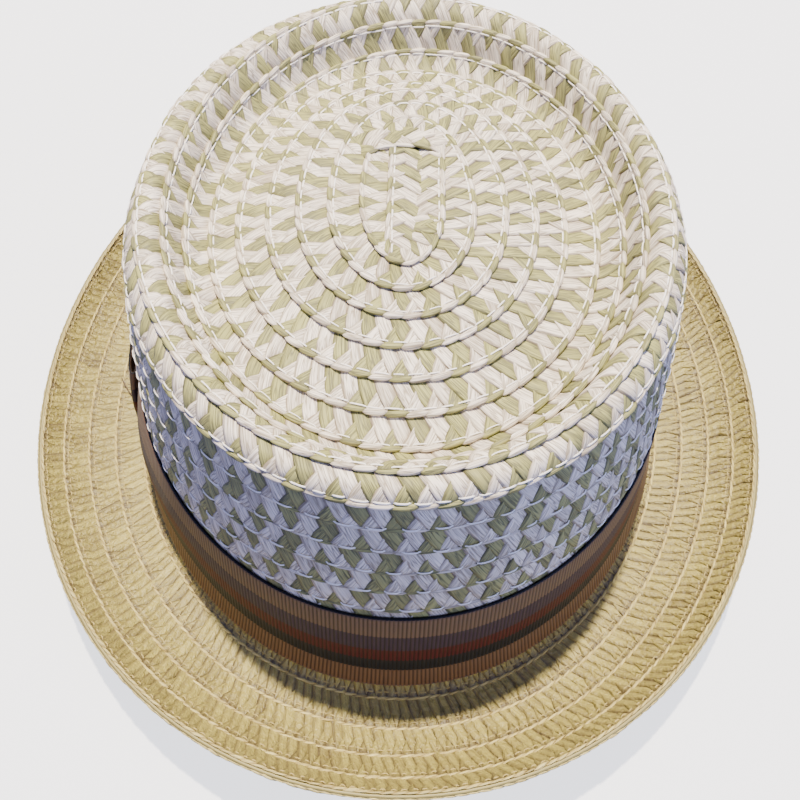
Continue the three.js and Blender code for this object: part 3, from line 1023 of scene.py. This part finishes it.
def folded_ribbon(name, path, place, gather):
    """A ribbon along a path seen from its edge, with ribs on its face; place() puts it on the hat."""
    _, even = smooth_path(path, 10)
    ribs = round(even[-1] / RIB)
    line, length = smooth_path(path, ribs * RIB_STEPS + 1)
    way = unit(np.gradient(line[:, :2], axis=0))
    off = np.stack([way[:, 1], -way[:, 0]], axis=1)[:, None, :]
    share = np.concatenate([[-1, -0.975], np.linspace(-0.92, 0.92, 15), [0.975, 1]])
    inside = np.where(np.abs(share) < 1, 1.0, 0.0)  # 0 at the very edges
    wave = gather(line[:, 0])[:, None] * PUCKER * np.cos(share * math.pi * PUCKERS) * inside
    rise = rib_wave(length * ribs * RIB / length[-1])[:, None] * BOW_RIBS * inside
    middle = line[:, None, :2] + 0 * share[None, :, None]
    width = line[:, 2][:, None] * share
    half = RIBBON_CLOTH / 2 * np.where(inside > 0, 1.0, BOW_SELVEDGE)
    sides = []
    for lift in (-wave - rise - half, -wave + half):
        at = middle + off * lift[..., None]
        sides.append(place(at[..., 0], width, at[..., 1]))
    uv = np.stack([length[:, None] + 0 * width, (0.5 + 0.5 * share) * RIBBON_WIDTH + 0 * width], axis=-1)
    return ribbon_piece(name, sides[0], sides[1], uv, False), length[-1]


def loop(name, node, side):
    """One side of the bow: -1 lies towards the hat's back and 1 towards its front."""
    piece, length = folded_ribbon(
        name,
        LOOP_PATH,
        lambda along, up, out: bow_point(side * along, up, out),
        lambda along: np.clip(1.3 - along / PUCKER_FADE, 0, 1) ** 1.5,
    )
    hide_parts(node)


KNOT_PATH = [  # up from the bow's middle, out from the wall, half width
    (-2.0, 1.2, 5.4),
    (8.0, 1.2, 5.6),
    (13.1, 1.5, 5.8),
    (14.0, 2.8, 6.0),
    (13.2, 4.2, 6.0),
    (8.0, 5.0, 6.0),
    (0.0, 5.3, 6.0),
    (-8.0, 5.0, 6.0),
    (-13.2, 4.2, 6.0),
    (-14.0, 2.8, 6.0),
    (-13.1, 1.5, 5.8),
    (-8.0, 1.2, 5.6),
    (-3.0, 1.2, 5.4),
]
loop("bow_back_ribbon", "bow_back_loop", -1)
loop("bow_front_ribbon", "bow_front_loop", 1)
bow_wrap, knot_length = folded_ribbon(
    "bow_knot_ribbon",
    KNOT_PATH,
    lambda up, across, out: bow_point(across, up, out),
    lambda up: 0.6 + 0 * up,
)
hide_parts("bow_knot")

# %% [markdown]
# ## A loose end
# The thread that holds the bow was not trimmed. Its end hangs out from under the bow's middle and lies
# on the brim. It is a thin tube along a short curve.

# %% Loose end
LOOSE_SIDES = 6
LOOSE_RADIUS = 0.17
LOOSE_FROM, LOOSE_SWEEP = 83.0, 5.5  # degrees round the head
LOOSE_OUT, LOOSE_REACH, LOOSE_BEND = 5.5, 8.0, 0.5  # from the crown's foot
LOOSE_LIFT, LOOSE_FALL = 0.9, 3.0  # it lies on the braid, and falls to it from the bow
BROWN_TWIST = 700.0  # too fine to show, as on the sewing thread


def brown_thread():
    """Plain twisted cotton, which is matt."""
    material = new_material("brown_cotton_thread")
    twist = add_node(material, "ShaderNodeTexWave", {"Scale": BROWN_TWIST, "Distortion": 1.0})
    colours = {"data_type": "RGBA", "i6": linear("#3c2c20"), "i7": linear("#5f4935")}
    colour = add_node(material, "ShaderNodeMix", colours, Factor=twist)
    return finish_material(material, {"Roughness": 0.6}, Base_Color=colour.outputs[2])


def loose_end():
    """A tube along a curve on the brim."""
    share = np.linspace(0, 1, 16)
    angle = np.radians(LOOSE_FROM + LOOSE_SWEEP * share)
    out = LOOSE_OUT + LOOSE_REACH * share + LOOSE_BEND * np.sin(math.pi * share)
    lift = LOOSE_LIFT + LOOSE_FALL * np.clip(1 - 4 * share, 0, 1) ** 2
    line = np.array([brim_face(o, a, h) for o, a, h in zip(out, angle, lift)])
    way = unit(np.gradient(line, axis=0))
    side = unit(np.cross(way, (0, 0, 1)))[:, None, :]
    above = np.cross(side, way[:, None, :])
    turn = np.linspace(0, 2 * math.pi, LOOSE_SIDES, endpoint=False)[None, :, None]
    points = line[:, None, :] + LOOSE_RADIUS * (np.cos(turn) * side + np.sin(turn) * above)
    faces = quads(len(share), LOOSE_SIDES, (False, True))
    new_piece("bow_loose_thread", points.reshape(-1, 3), faces, [brown_thread()], "grosgrain_ribbon")
    print("loose end:", round(float(distances(line)[-1])), "mm long,", len(faces), "faces")


loose_end()

# %% [markdown]
# ## Stage, light and camera
# The hat stands by itself on a pale floor inside a pale dome. One small warm light hangs almost
# overhead, a little towards the hat's front, so its shadows are crisp. The sky fills the near side
# with cool light, and a soft window adds some more from the right. The floor and the dome could light
# the hat too, but they would warm its shaded side, so they are only seen.

# %% Stage
STAGE_GLOW = 1.9


def backdrop_paint(name, light, dark):
    """Matt white paint, faintly mottled. A little glow keeps the shadows on it pale."""
    material = new_material(name)
    mottle = add_node(material, "ShaderNodeTexNoise", {"Scale": 40.0})
    colours = {"data_type": "RGBA", "i6": linear(dark), "i7": linear(light)}
    colour = add_node(material, "ShaderNodeMix", colours, Factor=mottle)
    finish = {"Roughness": 0.9, "Emission Color": (1, 1, 1, 1), "Emission Strength": STAGE_GLOW}
    return finish_material(material, finish, Base_Color=colour.outputs[2])


def as_stage(name, material):
    """The backdrop is seen but throws no light on the hat, whose shaded side then stays cool."""
    part = bpy.context.object
    part.name = name
    part.data.materials.append(material)
    part.visible_diffuse = part.visible_glossy = False
    return part


bpy.ops.mesh.primitive_plane_add(size=8, location=(0, 0, -0.0005))  # clear of the brim
as_stage("floor", backdrop_paint("floor_paint", "#bebebe", "#bababa"))
bpy.ops.mesh.primitive_uv_sphere_add(radius=3.9, segments=48, ring_count=24, location=(0, 0, 0))
backdrop = as_stage("backdrop", backdrop_paint("backdrop_paint", "#8c8c8c", "#888888"))
backdrop.visible_shadow = False  # the sky's light comes through it
backdrop.data.shade_smooth()
print("stage:", len(backdrop.data.polygons), "faces in the dome")

# %% Lights
SKY, SKY_STRENGTH = "#a8b3fc", 0.93


def area_light(name, place, aim, watts, size, code):
    """A square light, turned to its aim."""
    data = bpy.data.lights.new(name, "AREA")
    data.energy, data.size, data.color = watts, size, linear(code)[:3]
    lamp = bpy.data.objects.new(name, data)
    bpy.context.scene.collection.objects.link(lamp)
    lamp.location = place
    lamp.rotation_euler = (Vector(aim) - Vector(place)).to_track_quat("-Z", "Y").to_euler()


area_light("key", (-0.04, 0.36, 1.66), aim=(0, 0, 0.03), watts=108, size=0.05, code="#fff1dc")
area_light("window", (1.25, -0.8, 0.7), aim=(0, 0, 0.05), watts=14, size=0.6, code="#b3c4ff")
world = bpy.data.worlds.new("studio")
world.use_nodes = True
sky = world.node_tree.nodes["Background"].inputs
sky["Color"].default_value = linear(SKY)
sky["Strength"].default_value = SKY_STRENGTH
bpy.context.scene.world = world
print("lights:", [light.name for light in bpy.data.lights])

# %% Camera
CAMERA_AT = Vector((-0.466, -167.974, 239.317)) * MM
YAW, PITCH, ROLL = 0.0024, 0.9756, 0.0327  # radians to the right, downwards and about its axis
LENS, SENSOR = 37.685, 36.0  # millimetres
ahead = Vector((math.sin(YAW) * math.cos(PITCH), math.cos(YAW) * math.cos(PITCH), -math.sin(PITCH)))
right = Vector((math.cos(YAW), -math.sin(YAW), 0))
up = right.cross(ahead)
turned_right = math.cos(ROLL) * right + math.sin(ROLL) * up
turned_up = -math.sin(ROLL) * right + math.cos(ROLL) * up
camera_data = bpy.data.cameras.new("camera")
camera_data.lens, camera_data.sensor_width = LENS, SENSOR
camera_data.clip_start = 0.01
camera = bpy.data.objects.new("camera", camera_data)
bpy.context.scene.collection.objects.link(camera)
axes = Matrix((turned_right, turned_up, -ahead)).transposed()
camera.matrix_world = Matrix.Translation(CAMERA_AT) @ axes.to_4x4()
bpy.context.scene.camera = camera
print("camera:", round(CAMERA_AT.length, 3), "m from the middle of the hat's foot")
